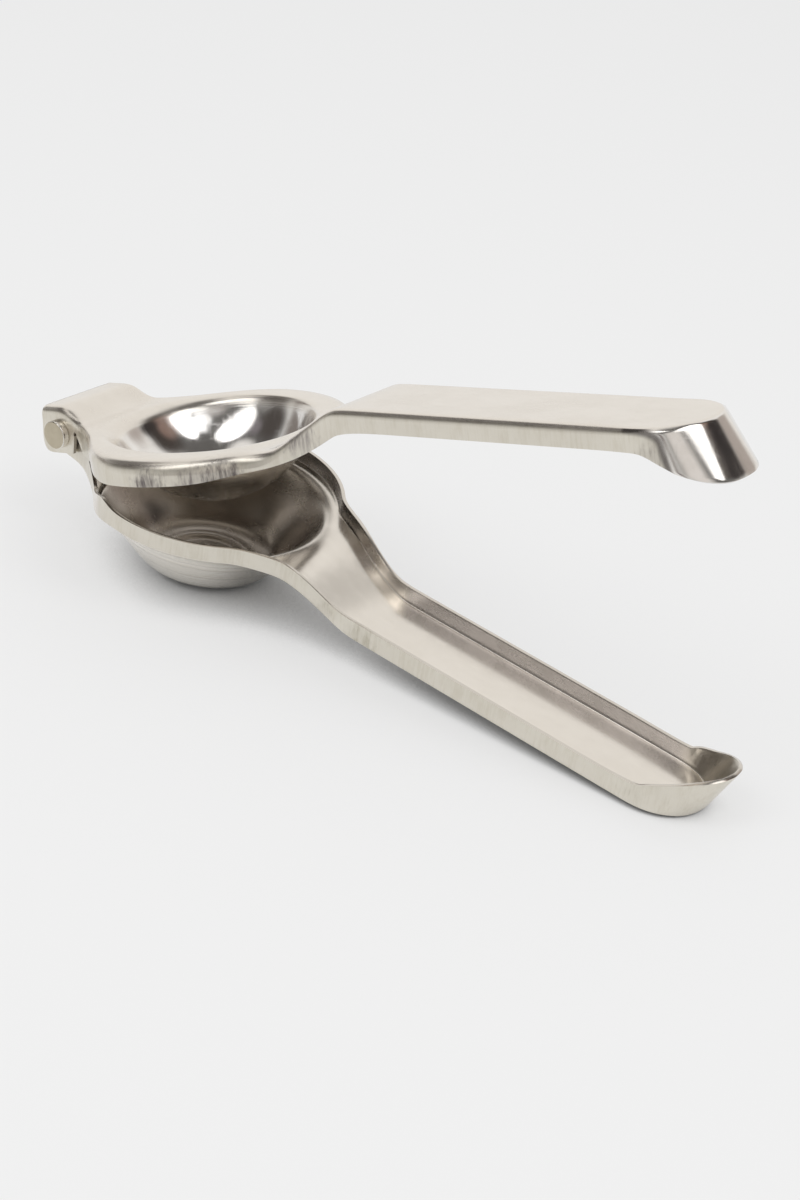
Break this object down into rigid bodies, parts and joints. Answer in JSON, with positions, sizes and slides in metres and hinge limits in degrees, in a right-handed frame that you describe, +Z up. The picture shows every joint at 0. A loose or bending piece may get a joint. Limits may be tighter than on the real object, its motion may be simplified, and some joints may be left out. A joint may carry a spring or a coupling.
{
  "type": "hinged lemon squeezer",
  "caption": "Hinged hand squeezer for citrus wedges: a lever with a press bowl closes over a lever with a strainer cup, both pressed from steel sheet and riveted at one end.",
  "frame": {"origin": "on the table, under the middle of the overall length, as the squeezer lies open on its cup and its lower handle", "axes": "+Z up; +X along the handles, away from the hinge; the rivet lies along Y"},
  "size_m": [0.1992, 0.067, 0.0881],
  "materials": {
    "upper_steel": "satin pressed stainless sheet, polished in the bowl and on the flared end",
    "lower_steel": "satin pressed stainless sheet, darker inside the cup",
    "rivet_steel": "turned steel with a dull flat face"
  },
  "bodies": {
    "lower": {"cup_lever": "lower_steel"},
    "upper": {"press_lever": "upper_steel", "hinge_pin": "rivet_steel"}
  },
  "joints": [
    {"name": "squeeze", "type": "hinge", "parent": "lower", "child": "upper", "pos_m": [-0.09284, 0, 0.02453], "axis": [0, -1, 0], "range_deg": [-17.4, 83.6]}
  ]
}
